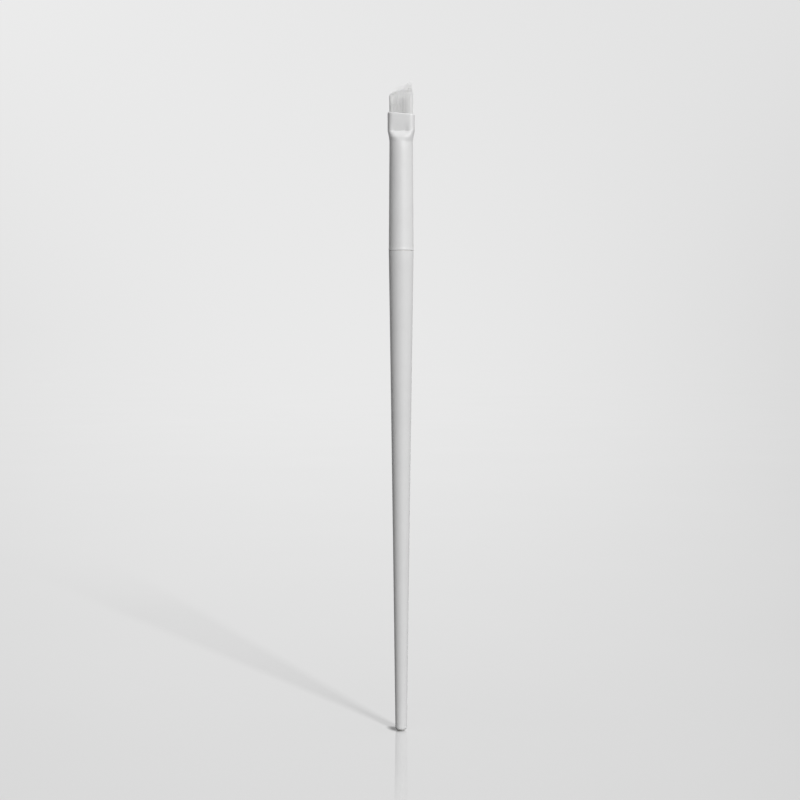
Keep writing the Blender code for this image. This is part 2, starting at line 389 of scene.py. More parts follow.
def handle_profile():
    """The handle's outline: the butt's flat and round, the side, the shoulder and the tenon."""
    side_foot = BUTT + BUTT_ROUND_HEIGHT
    side_top = SHOULDER - SHOULDER_ROUND
    tenon_foot = float(tube_radius(FERRULE_FOOT)) - WALL - TENON_CLEARANCE
    tenon_head = float(tube_radius(TENON_TOP)) - WALL - TENON_CLEARANCE
    side_height = np.linspace(side_foot, side_top, SIDE_ROWS)
    shoulder_inner = float(handle_radius(SHOULDER)) - SHOULDER_ROUND
    flat = np.array([(BUTT_FLAT_RADIUS * INNER_RING_SHARE, BUTT)])
    butt_edge = (float(handle_radius(side_foot)), side_foot)
    butt = quarter_round((BUTT_FLAT_RADIUS, BUTT), butt_edge, ROUND_ROWS * 2, "radius")
    side = np.stack((handle_radius(side_height), side_height), axis=-1)[1:]
    shoulder = quarter_round((side[-1, 0], side_top), (shoulder_inner, SHOULDER), ROUND_ROWS, "height")[1:]
    tenon_height = np.linspace(SHOULDER, TENON_TOP - TENON_CHAMFER, ROUND_ROWS)
    tenon = np.stack((np.linspace(tenon_foot, tenon_head, ROUND_ROWS), tenon_height), axis=-1)
    head = np.array([(tenon_head - TENON_CHAMFER, TENON_TOP), (tenon_head * INNER_RING_SHARE, TENON_TOP)])
    return np.concatenate((flat, butt, side, shoulder, tenon, head))


def tube_section(height, angle, inset):
    """Points of the tube's section: a circle at the neck that grows into a flat oval at the mouth.

    Across is the angle's cosine, and through is the root of one less across to the power of the flatness,
    which is lower on the short side than on the long one. The half width and the flatness follow the pressed
    share of the height. The half thickness is drawn in by the square of the height over a start, and then
    follows a pressed share that is shorter and steeper, whose end rises towards the two ends, so that the
    panel has rounded lower corners.
    """
    climb = (height - NECK) / (CRIMP_START - NECK)
    cosine, sine = np.cos(angle), np.sin(angle)
    corner_start = PRESSED_START + CORNER_RISE * np.abs(cosine) ** CORNER_POWER
    corner_climb = (height - PRESSED_NECK) / (corner_start - PRESSED_NECK)
    pressed = soft_cap(np.clip(climb, 0.0, None) ** SHOULDER_BEND, CREASE_SOFTNESS)
    side_pressed = soft_cap(np.clip(corner_climb, 0.0, None) ** PRESSED_BEND, CREASE_SOFTNESS)
    radius = tube_radius(np.minimum(height, NECK))
    half_width = radius + (CRIMP_HALF_WIDTH - radius) * pressed - inset
    drawn = np.clip((height - DRAWN_START) / (PRESSED_NECK - DRAWN_START), 0.0, None)
    shallow = radius - DRAWN_DEPTH * drawn**2
    half_thickness = shallow + (CRIMP_HALF_THICKNESS - shallow) * side_pressed - inset
    flat = CRIMP_FLATNESS[0] + (CRIMP_FLATNESS[1] - CRIMP_FLATNESS[0]) * (1.0 + cosine) / 2.0
    flatness = 2.0 + (flat - 2.0) * pressed
    through = np.copysign(np.sqrt(np.clip(1.0 - np.abs(cosine) ** flatness, 0.0, None)), sine)
    return half_width * cosine, half_thickness * through, cosine


def panel_recess(height, across, through):
    """Depth of the shallow panel that the press left on each broad side.

    It is the panel's depth times a soft step in from each of its sides, one up from the crimp's start, which
    rises towards the ends, and a power of how far the height lies below the plain band at the mouth.
    """
    short_side = soft_step((across - PANEL_SIDES[0]) / PANEL_SOFTNESS)
    long_side = soft_step((PANEL_SIDES[1] - across) / PANEL_SOFTNESS)
    foot = PRESSED_START - PANEL_FOOT_DROP + CORNER_RISE * np.abs(across) ** CORNER_POWER
    up = (height - foot) / PANEL_EDGE
    below = np.clip((PANEL_TOP - height) / (PANEL_TOP - PRESSED_START), 0.0, 1.0) ** PANEL_POWER
    return PANEL_DEPTH * short_side * long_side * soft_step(up) * below * np.sign(through)


def mouth_drop(height, across):
    """How far the crimp is lowered so that the rim slants down to the long side."""
    return MOUTH_SLANT * (1.0 + across) / 2.0 * soft_step((height - CRIMP_START) / (MOUTH - CRIMP_START))


def ferrule_rings():
    """The ferrule as one closed shell: up the outside, over the rim, down the bore and under the foot."""
    turn = np.linspace(0.0, math.pi / 2.0, ROUND_ROWS)
    foot = FERRULE_FOOT + LIP_ROUND * (1.0 - np.cos(turn))
    foot_proud = LIP_SHOWN - LIP_ROUND * (1.0 - np.sin(turn))
    lip_top = FERRULE_FOOT + LIP_HEIGHT
    fall = np.linspace(0.0, 1.0, ROUND_ROWS)[1:]
    lip = lip_top + LIP_FADE * fall
    lip_proud = LIP_SHOWN * (1.0 - soft_step(fall))
    body = np.linspace(lip[-1], NECK, BODY_ROWS)[1:]
    crimp = np.linspace(NECK, MOUTH - RIM_ROUND_HEIGHT, CRIMP_ROWS)[1:]
    plain = np.zeros(len(body) + len(crimp))
    rim = MOUTH - RIM_ROUND_HEIGHT * (1.0 - np.sin(turn))[1:]
    rim_inset = RIM_ROUND * (1.0 - np.cos(turn))[1:]
    outer_height = np.concatenate((foot, [lip_top], lip, body, crimp, rim))
    outer_inset = np.concatenate((-foot_proud, [-LIP_SHOWN], -lip_proud, plain, rim_inset))
    inner_height = outer_height[::-1]
    inner_inset = np.full(len(inner_height), WALL)
    inner_inset[: len(rim)] = WALL - rim_inset[::-1]
    rings = []
    for heights, insets, outside in ((outer_height, outer_inset, 1.0), (inner_height, inner_inset, 0.0)):
        height = heights[:, None]
        x, y, across = tube_section(height, around(SIDES)[None, :], insets[:, None])
        y = y - outside * panel_recess(height, across, y)
        rings.append(np.stack((x, y, height - mouth_drop(height, across)), axis=-1))
    return np.concatenate(rings)


def cut_height(across):
    """The slanted cut: straight from the short side at -1 to the long side at +1, with a parabola's crown."""
    share = (across + 1.0) / 2.0
    return MOUTH + SHORT_SIDE + (LONG_SIDE - SHORT_SIDE) * share + CUT_CROWN * parabola(share)


def full_drop(across):
    """How far the dense edge lies below the cut, growing towards the long side."""
    return SHORT_DROP + (LONG_DROP - SHORT_DROP) * (across + 1.0) / 2.0


def filament_roots(chance):
    """Staggered rows of roots, each moved a little by chance, kept inside the mouth's flat oval.

    Near the two ends fewer and fewer are kept, so that the tuft's edges are thin.
    """
    columns = round(TUFT_HALF_WIDTH / FILAMENT_PITCH)
    rows = round(TUFT_HALF_THICKNESS / (FILAMENT_PITCH * math.sin(math.pi / 3.0)))
    row, column = np.meshgrid(np.arange(-rows, rows + 1), np.arange(-columns, columns + 1), indexing="ij")
    across = (column + 0.5 * (row % 2)).ravel() / columns
    through = row.ravel() / rows
    across = across + chance.uniform(-ROOT_JITTER, ROOT_JITTER, across.size) / columns
    through = through + chance.uniform(-ROOT_JITTER, ROOT_JITTER, through.size) / rows
    kept = np.abs(across) ** TUFT_FLATNESS + through**2 <= 1.0
    kept &= chance.random(across.size) < np.clip((1.0 - np.abs(across)) / END_SHARE, END_KEPT, 1.0)
    return across[kept], through[kept]


def tuft_points(chance):
    """Every filament of the tuft as rings of points and a tip, and a tone for each point.

    A filament runs from the resin slice to its tip. Its free share is 0 at the mouth and 1 at the cut. Across
    grows by the flare times the free share, and through shrinks towards the chisel edge by the free share to
    the power of the thinning. Filaments lean together in locks: each is drawn towards the middle of its lock
    by the square of the free share. The tip falls short of the cut by the full drop times a power of chance.
    Most powers are low, so that most tips end at the dense edge, and a share of the filaments has a higher
    one, so that those stand thinly above it. A ring is bare by a soft step of its height over the dense edge,
    and bare rings shrink to the thin share. The filaments beyond the short end are left out.
    """
    across, through = filament_roots(chance)
    count = across.size
    power = np.where(chance.random(count) < LONG_FILAMENT_SHARE, LONG_DROP_POWER, DROP_POWER)
    tip = np.minimum(cut_height(across) - full_drop(across) * chance.random(count) ** power, TUFT_TOP)
    lock_across = chance.uniform(-1.0, 1.0, LOCKS)
    lock_through = chance.uniform(-1.0, 1.0, LOCKS)
    across_to_lock = (across[:, None] - lock_across) * LOCK_NARROWNESS
    lock = np.argmin(np.hypot(across_to_lock, through[:, None] - lock_through), axis=1)
    pull_across = (lock_across[lock] - across) * LOCK_PULL
    pull_through = (lock_through[lock] - through) * LOCK_PULL
    stray = chance.normal(0.0, STRAY, (2, count))
    root = SLICE_BOTTOM + SLICE_THICKNESS / 2.0
    height = MOUTH + (tip - MOUTH)[:, None] * np.array(FILAMENT_REACH_SHARES)
    height = np.concatenate((np.full((count, 1), root), height), axis=1)
    free = np.clip((height - MOUTH) / (cut_height(across) - MOUTH)[:, None], 0.0, None)
    half_width = TUFT_HALF_WIDTH + TUFT_FLARE * free
    thinned = (TUFT_HALF_THICKNESS - CHISEL_HALF_THICKNESS) * free**TUFT_THINNING
    half_thickness = TUFT_HALF_THICKNESS - thinned
    x = half_width * np.clip(across[:, None] + pull_across[:, None] * free**2, -1.0, 1.0)
    y = half_thickness * np.clip(through[:, None] + pull_through[:, None] * free**2, -1.0, 1.0)
    x = x + stray[0][:, None] * free**2
    y = y + stray[1][:, None] * free**2
    centre = np.stack((x, y, height), axis=-1)
    spin = chance.uniform(0.0, math.pi, count)[:, None] + around(FILAMENT_SIDES)
    radius = FILAMENT_RADIUS * chance.uniform(*FILAMENT_RADIUS_SPREAD, count)[:, None]
    radius = radius * np.array(FILAMENT_RADIUS_SHARES)
    dense = cut_height(across) - full_drop(across)
    bare = soft_step((height[:, :-1] - dense[:, None]) / THIN_REACH)
    radius = radius * (1.0 + (THIN_SHARE - 1.0) * bare)
    ring = np.stack((np.cos(spin), np.sin(spin), 0.0 * spin), axis=-1)
    rings = centre[:, :-1, None, :] + radius[:, :, None, None] * ring[:, None, :, :]
    points = np.concatenate((rings.reshape(count, -1, 3), centre[:, -1:, :]), axis=1)
    tone = chance.normal(0.0, STRAND_TONE_SPREAD, count) + chance.random(LOCKS)[lock]
    shown = across >= SHORT_END
    return points[shown], np.repeat(tone[shown].clip(0.0, 1.0), points.shape[1])


def filament_faces(count, rings):
    """Faces of every filament: a cap on its root, quads up its sides and a fan to its tip."""
    tip = rings * FILAMENT_SIDES
    step = (np.arange(count) * (tip + 1))[:, None, None]
    root_cap = np.arange(FILAMENT_SIDES)[None, ::-1]
    quads = np.concatenate((root_cap, loop_faces(rings, FILAMENT_SIDES)))
    fan = fan_faces(tip - FILAMENT_SIDES, FILAMENT_SIDES, tip)
    return (quads + step).reshape(-1, 4).tolist() + (fan + step).reshape(-1, 3).tolist()


def slice_rings():
    """The slice of set resin about the roots, a level loft that fills the bore of the crimp."""
    height = np.linspace(SLICE_BOTTOM, SLICE_BOTTOM + SLICE_THICKNESS, SLICE_ROWS)[:, None]
    x, y, _ = tube_section(height, around(SIDES)[None, :], WALL + TUFT_CLEARANCE)
    return np.stack((x, y, height + 0.0 * x), axis=-1)


def add_node(tree, kind, **settings):
    """A new node of a tree, with its settings."""
    node = tree.nodes.new(kind)
    for name, value in settings.items():
        setattr(node, name, value)
    return node


def feed(tree, node, **sources):
    """Sets inputs by name with _ for a space, or as i0, i1 and so on: a socket is linked, a value is set."""
    for name, source in sources.items():
        place = node.inputs[int(name[1:])] if name[1:].isdigit() else node.inputs[name.replace("_", " ")]
        if isinstance(source, bpy.types.NodeSocket):
            tree.links.new(source, place)
        else:
            place.default_value = source
    return node


def reckon(tree, operation, first, second=0.0, third=0.0, clamp=False):
    """The output of one Math node."""
    node = add_node(tree, "ShaderNodeMath", operation=operation, use_clamp=clamp)
    feed(tree, node, i0=first, i1=second)
    if operation == "MULTIPLY_ADD":
        feed(tree, node, i2=third)
    return node.outputs[0]


def reckon_vector(tree, operation, first, second=(0.0, 0.0, 0.0), output="Value"):
    """One output of a Vector Math node."""
    node = add_node(tree, "ShaderNodeVectorMath", operation=operation)
    return feed(tree, node, i0=first, i1=second).outputs[output]


def axes(tree, place):
    """The outputs X, Y and Z that a place is split into."""
    return feed(tree, add_node(tree, "ShaderNodeSeparateXYZ"), Vector=place).outputs


def spread(tree, value, low, high, to_low=0.0, to_high=1.0, smooth=False):
    """The output of a Map Range node that carries low..high to to_low..to_high and clamps outside."""
    node = add_node(tree, "ShaderNodeMapRange", interpolation_type="SMOOTHSTEP" if smooth else "LINEAR")
    feed(tree, node, i0=value, i1=low, i2=high, i3=to_low, i4=to_high)
    return node.outputs[0]


def blend_colours(tree, share, first, second):
    """The output of a Mix node for colours."""
    node = add_node(tree, "ShaderNodeMix", data_type="RGBA")
    return feed(tree, node, i0=share, i6=first, i7=second).outputs[2]


def blend_values(tree, share, first, second):
    """The output of a Mix node for single values."""
    node = add_node(tree, "ShaderNodeMix", data_type="FLOAT")
    return feed(tree, node, i0=share, i2=first, i3=second).outputs[0]


def mix_shaders(tree, share, first, second):
    """The Mix Shader node between two shader nodes."""
    node = add_node(tree, "ShaderNodeMixShader")
    return feed(tree, node, i0=share, i1=first.outputs[0], i2=second.outputs[0])


def noise(tree, place, scale, detail=2.0, roughness=0.5):
    """The output of a Noise Texture node."""
    node = add_node(tree, "ShaderNodeTexNoise")
    return feed(tree, node, Vector=place, Scale=scale, Detail=detail, Roughness=roughness).outputs["Fac"]


def cells(tree, place, scale):
    """The distance to the nearest point of a Voronoi Texture node."""
    node = add_node(tree, "ShaderNodeTexVoronoi")
    return feed(tree, node, Vector=place, Scale=scale).outputs["Distance"]


def tinted(tree, colour, tone):
    """A colour times a tone, by a mix from black."""
    return blend_colours(tree, tone, BLACK, colour)


def new_group(name, inputs, outputs):
    """A shader node group with named vector or float sockets: Vector and Direction are vectors."""
    tree = bpy.data.node_groups.new(name, "ShaderNodeTree")
    for label, way in [(name, "INPUT") for name in inputs] + [(name, "OUTPUT") for name in outputs]:
        kind = "NodeSocketVector" if label in ("Vector", "Direction") else "NodeSocketFloat"
        tree.interface.new_socket(name=label, in_out=way, socket_type=kind)
    return tree, add_node(tree, "NodeGroupInput").outputs, add_node(tree, "NodeGroupOutput").inputs


def place_group(tree, group, **values):
    """Places a node group in a material with its own values and returns its outputs."""
    return feed(tree, add_node(tree, "ShaderNodeGroup", node_tree=group), **values).outputs


def sprayed_coat_group():
    """The unevenness of a sprayed coat: broad clouds of tone, a fine peel and a few settled specks.

    Tone is near 1 and multiplies the colour, Gloss is near 0 and is added to the roughness, and Height is the
    peel with the specks standing on it.
    """
    inputs, outputs = ("Vector", "Peel Scale", "Cloud Scale", "Specks"), ("Tone", "Gloss", "Height")
    tree, given, put = new_group("sprayed_coat", inputs, outputs)
    place = given["Vector"]
    clouds = noise(tree, place, given["Cloud Scale"], detail=3.0)
    peel = noise(tree, place, given["Peel Scale"])
    settled = cells(tree, place, reckon(tree, "MULTIPLY", given["Peel Scale"], SPECK_CELLS))
    rare = spread(tree, noise(tree, place, given["Cloud Scale"], detail=1.0), *SPECK_RARITY)
    speck = reckon(tree, "MULTIPLY", spread(tree, settled, *SPECK_SPAN), rare)
    speck = reckon(tree, "MULTIPLY", speck, given["Specks"])
    tone = spread(tree, clouds, *NOISE_SPAN, *COAT_TONES)
    tree.links.new(reckon(tree, "MULTIPLY_ADD", speck, SPECK_TONE, tone), put["Tone"])
    tree.links.new(spread(tree, clouds, *NOISE_SPAN, *COAT_GLOSSES), put["Gloss"])
    tree.links.new(reckon(tree, "MULTIPLY_ADD", speck, SPECK_RISE, peel), put["Height"])
    return tree


def lengthwise_grain_group():
    """Fine lines that run up the brush: noise whose place is squeezed along Z, cut to its upper part."""
    tree, given, put = new_group("lengthwise_grain", ("Vector", "Lines", "Stretch"), ("Line",))
    parts = axes(tree, given["Vector"])
    joined = add_node(tree, "ShaderNodeCombineXYZ")
    feed(tree, joined, X=parts["X"], Y=parts["Y"], Z=reckon(tree, "DIVIDE", parts["Z"], given["Stretch"]))
    lines = noise(tree, joined.outputs[0], given["Lines"], detail=4.0, roughness=0.6)
    tree.links.new(spread(tree, lines, *LINE_SPAN), put["Line"])
    return tree


def worn_edge_group():
    """Wear beside a level edge: full at the edge's height, gone at its reach, and broken by fine noise."""
    tree, given, put = new_group("worn_edge", ("Vector", "Edge Height", "Reach", "Grain Scale"), ("Mask",))
    height = axes(tree, given["Vector"])["Z"]
    beside = reckon(tree, "ABSOLUTE", reckon(tree, "SUBTRACT", height, given["Edge Height"]))
    near = reckon(tree, "SUBTRACT", 1.0, reckon(tree, "DIVIDE", beside, given["Reach"]), clamp=True)
    broken = noise(tree, given["Vector"], given["Grain Scale"], detail=4.0, roughness=0.65)
    worn = reckon(tree, "MULTIPLY_ADD", near, WEAR_NEARNESS, broken)
    tree.links.new(spread(tree, worn, *WEAR_SPAN), put["Mask"])
    return tree


def cured_resin_group():
    """Set resin: slow clouds of tone and small round bubbles near the surface."""
    tree, given, put = new_group("cured_resin", ("Vector", "Cloud Scale", "Bubble Scale"), ("Tone", "Bubble"))
    clouds = noise(tree, given["Vector"], given["Cloud Scale"], detail=3.0)
    bubbles = cells(tree, given["Vector"], given["Bubble Scale"])
    tree.links.new(spread(tree, clouds, *NOISE_SPAN, *RESIN_TONES), put["Tone"])
    tree.links.new(spread(tree, bubbles, *BUBBLE_SPAN), put["Bubble"])
    return tree


def new_material(name):
    """A material with its tree, its Principled shader and the Object coordinates."""
    material = bpy.data.materials.new(name)
    material.use_nodes = True
    tree = material.node_tree
    place = add_node(tree, "ShaderNodeTexCoord").outputs["Object"]
    return material, tree, tree.nodes["Principled BSDF"], place


def raise_bumps(tree, shader, height, distance):
    """Feeds the shader's normal with a bump whose height is counted in the distance."""
    bump = feed(tree, add_node(tree, "ShaderNodeBump"), Height=height, Distance=distance, Strength=1.0)
    feed(tree, shader, Normal=bump.outputs["Normal"])


def slot_colour(name):
    """The record's colour of a material slot."""
    rows = {row["slot"]: row["base_color"] for row in frame["record"]["materials"]}
    return (*rows[name], 1.0)


def handle_lacquer(coat, grain, wear):
    """Pale grey satin lacquer over turned wood, worn to the wood at the butt's and the shoulder's edge."""
    material, tree, shader, place = new_material("pale_lacquered_wood")
    sprayed = place_group(tree, coat, Vector=place, Peel_Scale=2600.0, Cloud_Scale=160.0, Specks=1.0)
    line = place_group(tree, grain, Vector=place, Lines=2400.0, Stretch=38.0)["Line"]
    butt = place_group(tree, wear, Vector=place, Edge_Height=BUTT, Reach=0.0011, Grain_Scale=5200.0)
    neck = place_group(tree, wear, Vector=place, Edge_Height=SHOULDER, Reach=0.00022, Grain_Scale=5200.0)
    bare = reckon(tree, "MAXIMUM", butt["Mask"], neck["Mask"])
    bare = reckon(tree, "MULTIPLY", bare, BARE_WOOD_SHARE)
    tone = reckon(tree, "MULTIPLY_ADD", line, HANDLE_LINE_TONE, sprayed["Tone"])
    lacquer = tinted(tree, slot_colour("handle_lacquer"), tone)
    rough = reckon(tree, "ADD", sprayed["Gloss"], HANDLE_ROUGHNESS)
    rough = reckon(tree, "MULTIPLY_ADD", bare, BARE_WOOD_ROUGHNESS, rough)
    feed(tree, shader, Base_Color=blend_colours(tree, bare, lacquer, BARE_WOOD), Roughness=rough)
    feed(tree, shader, Specular_IOR_Level=HANDLE_SPECULAR)
    height = reckon(tree, "MULTIPLY_ADD", line, HANDLE_LINE_RISE, sprayed["Height"])
    raise_bumps(tree, shader, height, HANDLE_BUMP)
    return material


def ferrule_coating(coat, grain, wear):
    """Pale grey satin coating on a drawn tube, worn to bright aluminium on the rim and on the lip.

    The press stretched and dulled the coating a little at the crimp's end on the long side.
    """
    material, tree, shader, place = new_material("pale_coated_aluminium")
    sprayed = place_group(tree, coat, Vector=place, Peel_Scale=4200.0, Cloud_Scale=230.0, Specks=0.6)
    line = place_group(tree, grain, Vector=place, Lines=3600.0, Stretch=60.0)["Line"]
    parts = axes(tree, place)
    mouth = spread(tree, parts["X"], -CRIMP_HALF_WIDTH, CRIMP_HALF_WIDTH, MOUTH, MOUTH - MOUTH_SLANT)
    rim = place_group(tree, wear, Vector=place, Edge_Height=mouth, Reach=0.00022, Grain_Scale=6500.0)
    lip = place_group(tree, wear, Vector=place, Edge_Height=FERRULE_FOOT, Reach=0.0002, Grain_Scale=6500.0)
    bare = reckon(tree, "MAXIMUM", rim["Mask"], lip["Mask"])
    tone = reckon(tree, "MULTIPLY_ADD", line, FERRULE_LINE_TONE, sprayed["Tone"])
    coating = tinted(tree, slot_colour("ferrule_coating"), tone)
    beside = reckon(tree, "ABSOLUTE", reckon(tree, "SUBTRACT", parts["Z"], DULL_HEIGHT))
    dull = spread(tree, beside, *DULL_REACH, DULL_ROUGHNESS, 0.0, smooth=True)
    dull = reckon(tree, "MULTIPLY", dull, spread(tree, parts["X"], *DULL_SIDE, smooth=True))
    rough = reckon(tree, "ADD", reckon(tree, "ADD", sprayed["Gloss"], FERRULE_ROUGHNESS), dull)
    feed(tree, shader, Base_Color=blend_colours(tree, bare, coating, BARE_ALUMINIUM), Roughness=rough)
    feed(tree, shader, Metallic=reckon(tree, "MULTIPLY", bare, BARE_METALLIC))
    feed(tree, shader, Specular_IOR_Level=FERRULE_SPECULAR)
    height = reckon(tree, "MULTIPLY_ADD", line, FERRULE_LINE_RISE, sprayed["Height"])
    raise_bumps(tree, shader, height, FERRULE_BUMP)
    return material


def filament_white():
    """White filament, each with its own tone.

    Painted light makes it palest at the dense edge and at the short end, and painted shade makes it a little
    darker in a core right of the middle, at the long side and at the very tips. It also has faint broad
    bands.
    """
    material, tree, shader, place = new_material("white_filament")
    own = add_node(tree, "ShaderNodeAttribute", attribute_name="strand_tone").outputs["Fac"]
    parts = axes(tree, place)
    # Painted light: paler by height towards the dense edge, a little at the long side, and at the short end
    rise = spread(tree, parts["Z"], *PAINTED_LIGHT_HEIGHTS, smooth=True)
    long_side = spread(tree, parts["X"], *PAINTED_LIGHT_LONG_SIDE, 0.0, PAINTED_LIGHT_LONG_SHARE, smooth=True)
    short_end = spread(tree, parts["X"], *PAINTED_LIGHT_SHORT_END, smooth=True)
    pale = reckon(tree, "MAXIMUM", rise, reckon(tree, "MAXIMUM", long_side, short_end))
    bands = spread(tree, noise(tree, place, BAND_SCALE), *NOISE_SPAN, *BAND_TONES)
    tone = reckon(tree, "MULTIPLY_ADD", own, STRAND_GAIN, bands)
    tone = reckon(tree, "MULTIPLY_ADD", pale, PAINTED_LIGHT_GAIN, tone)
    # Painted shade: darker at the long side, in a core right of the middle low down, and at the very tips
    dim = spread(tree, parts["X"], *PAINTED_SHADE_LONG_SIDE, 1.0, PAINTED_SHADE_LONG_TONE)
    aside = reckon(tree, "ABSOLUTE", reckon(tree, "SUBTRACT", parts["X"], SHADED_CORE_MIDDLE))
    outside = reckon(tree, "MAXIMUM", rise, spread(tree, aside, *SHADED_CORE_SPAN, smooth=True))
    core = spread(tree, outside, 0.0, 1.0, SHADED_CORE_TONE, 1.0)
    tips = spread(tree, parts["Z"], *SHADED_TIP_HEIGHTS, 1.0, SHADED_TIP_TONE)
    for factor in (dim, core, tips):
        tone = reckon(tree, "MULTIPLY", tone, factor)
    # The painted light blends from the shaded copy of the white to the lit one
    base = blend_colours(tree, pale, FILAMENT_SHADED_COLOUR, FILAMENT_LIT_COLOUR)
    rough = spread(tree, own, 0.0, 1.0, *FILAMENT_ROUGHNESSES)
    feed(tree, shader, Base_Color=tinted(tree, base, tone), Roughness=rough, IOR=FILAMENT_IOR)
    peel = noise(tree, place, FILAMENT_PEEL_SCALE, detail=1.0)
    raise_bumps(tree, shader, peel, FILAMENT_BUMP)
    return material


def resin_amber(resin, name, slot, cloud_scale, bubble_scale, roughness):
    """Set resin or adhesive of one slot's colour, clouded and with small bubbles."""
    material, tree, shader, place = new_material(name)
    cured = place_group(tree, resin, Vector=place, Cloud_Scale=cloud_scale, Bubble_Scale=bubble_scale)
    tone = reckon(tree, "MULTIPLY_ADD", cured["Bubble"], BUBBLE_TONE, cured["Tone"])
    rough = reckon(tree, "MULTIPLY_ADD", cured["Bubble"], BUBBLE_ROUGHNESS, roughness)
    feed(tree, shader, Base_Color=tinted(tree, slot_colour(slot), tone), Roughness=rough)
    feed(tree, shader, Coat_Weight=RESIN_COAT)
    raise_bumps(tree, shader, cured["Bubble"], BUBBLE_BUMP)
    return material


def facing(azimuth):
    """The level direction from the brush towards a place at an azimuth, 0 being -Y and 90 degrees +X."""
    return Vector((math.sin(azimuth), -math.cos(azimuth), 0.0))


def camera_right():
    """The level direction that points right in the picture."""
    return Vector((math.cos(CAMERA_AZIMUTH), math.sin(CAMERA_AZIMUTH), 0.0))


def camera_place():
    """The camera's place: out from the brush at its azimuth, a small step to the side, and up."""
    out = facing(CAMERA_AZIMUTH) * CAMERA_DISTANCE
    return out + camera_right() * CAMERA_SIDE_STEP + Vector((0.0, 0.0, CAMERA_HEIGHT))


def key_place():
    """The lamp's place: out from the middle of the brush at its azimuth and elevation."""
    out = facing(KEY_AZIMUTH) * math.cos(KEY_ELEVATION) + Vector((0.0, 0.0, math.sin(KEY_ELEVATION)))
    return BRUSH_MIDDLE + out * KEY_DISTANCE


def backdrop_group():
    """The pale backdrop's tone by direction, and the shade of what the gloss mirrors.

    Low down the tone is brightest a little left of the middle and falls to both sides, and higher up it only
    falls to the right. Shade is 1 all round, low over the far left and more than 1 high overhead.
    """
    tree, given, put = new_group("backdrop", ("Direction",), ("Tone", "Shade"))
    unit = reckon_vector(tree, "NORMALIZE", given["Direction"], output="Vector")
    side = reckon_vector(tree, "DOT_PRODUCT", unit, camera_right())
    height = axes(tree, unit)["Z"]
    aside = spread(tree, side, -SIDE_REACH, SIDE_REACH, -SIDE_REACH, SIDE_REACH)
    bow = spread(tree, height, 0.0, BOW_HEIGHT, SIDE_BOW, 0.0)
    bow = reckon(tree, "MULTIPLY", reckon(tree, "MULTIPLY", aside, aside), bow)
    climb = spread(tree, height, 0.0, RISE_HEIGHT, 0.0, RISE_HEIGHT)
    tone = reckon(tree, "MULTIPLY_ADD", climb, RISE_SLOPE, bow)
    tone = reckon(tree, "MULTIPLY_ADD", aside, spread(tree, height, 0.0, SLOPE_HEIGHT, *SIDE_SLOPES), tone)
    tree.links.new(reckon(tree, "ADD", tone, BACKDROP_TONE), put["Tone"])
    dark = spread(tree, side, *SHADE_SIDES, 0.0, SHADE_TONE - 1.0, smooth=True)
    shade = reckon(tree, "MULTIPLY_ADD", dark, spread(tree, height, *SHADE_HEIGHTS, smooth=True), 1.0)
    overhead = spread(tree, height, *OVERHEAD_HEIGHTS, 0.0, OVERHEAD_GLOSS, smooth=True)
    tree.links.new(reckon(tree, "ADD", shade, overhead), put["Shade"])
    return tree


def seen_directly(tree):
    """1 on camera, glossy and transmission rays, and 0 on the diffuse rays that light the object."""
    path = add_node(tree, "ShaderNodeLightPath").outputs
    seen = reckon(tree, "MAXIMUM", path["Is Camera Ray"], path["Is Glossy Ray"])
    return reckon(tree, "MAXIMUM", seen, path["Is Transmission Ray"])


def dress_world(backdrop):
    """A pale backdrop to look at, and for diffuse rays a plain light that grows upwards and to the right."""
    world = bpy.data.worlds.new("studio")
    bpy.context.scene.world = world
    world.use_nodes = True
    tree = world.node_tree
    direction = add_node(tree, "ShaderNodeTexCoord").outputs["Object"]
    seen = place_group(tree, backdrop, Direction=direction)
    glossy = add_node(tree, "ShaderNodeLightPath").outputs["Is Glossy Ray"]
    tone = reckon(tree, "MULTIPLY", seen["Tone"], spread(tree, glossy, 0.0, 1.0, 1.0, seen["Shade"]))
    lean = camera_right() * AMBIENT_FROM_SIDE + Vector((0.0, 0.0, AMBIENT_FROM_ABOVE))
    ambient = reckon_vector(tree, "DOT_PRODUCT", direction, lean)
    ambient = reckon(tree, "ADD", ambient, AMBIENT, clamp=True)
    level = blend_values(tree, seen_directly(tree), ambient, tone)
    feed(tree, tree.nodes["Background"], Color=WHITE, Strength=level)


def floor_level(tree, place, far_tone):
    """The tone that the floor should show: the backdrop's, drawn to one tone near the camera, and mottled."""
    away = reckon_vector(tree, "DISTANCE", place, camera_place())
    near = reckon(tree, "EXPONENT", reckon(tree, "DIVIDE", away, -NEAR_REACH))
    near = reckon(tree, "MULTIPLY", near, NEAR_SHARE, clamp=True)
    mottle = spread(tree, noise(tree, place, MOTTLE_SCALE, detail=3.0), *NOISE_SPAN, *MOTTLE_TONES)
    return reckon(tree, "MULTIPLY", blend_values(tree, near, far_tone, NEAR_TONE), mottle)


def floor_lit(tree, place):
    """The tone that light gives the floor: a plain share, and the lamp's, by a power of its distance."""
    lamp = key_place()
    away = reckon_vector(tree, "DISTANCE", place, lamp)
    lit = reckon(tree, "POWER", reckon(tree, "DIVIDE", lamp.length, away), FLOOR_LIT_POWER)
    return reckon(tree, "MULTIPLY_ADD", lit, FLOOR_LIT_BY_LAMP, FLOOR_LIT_ALL_ROUND)


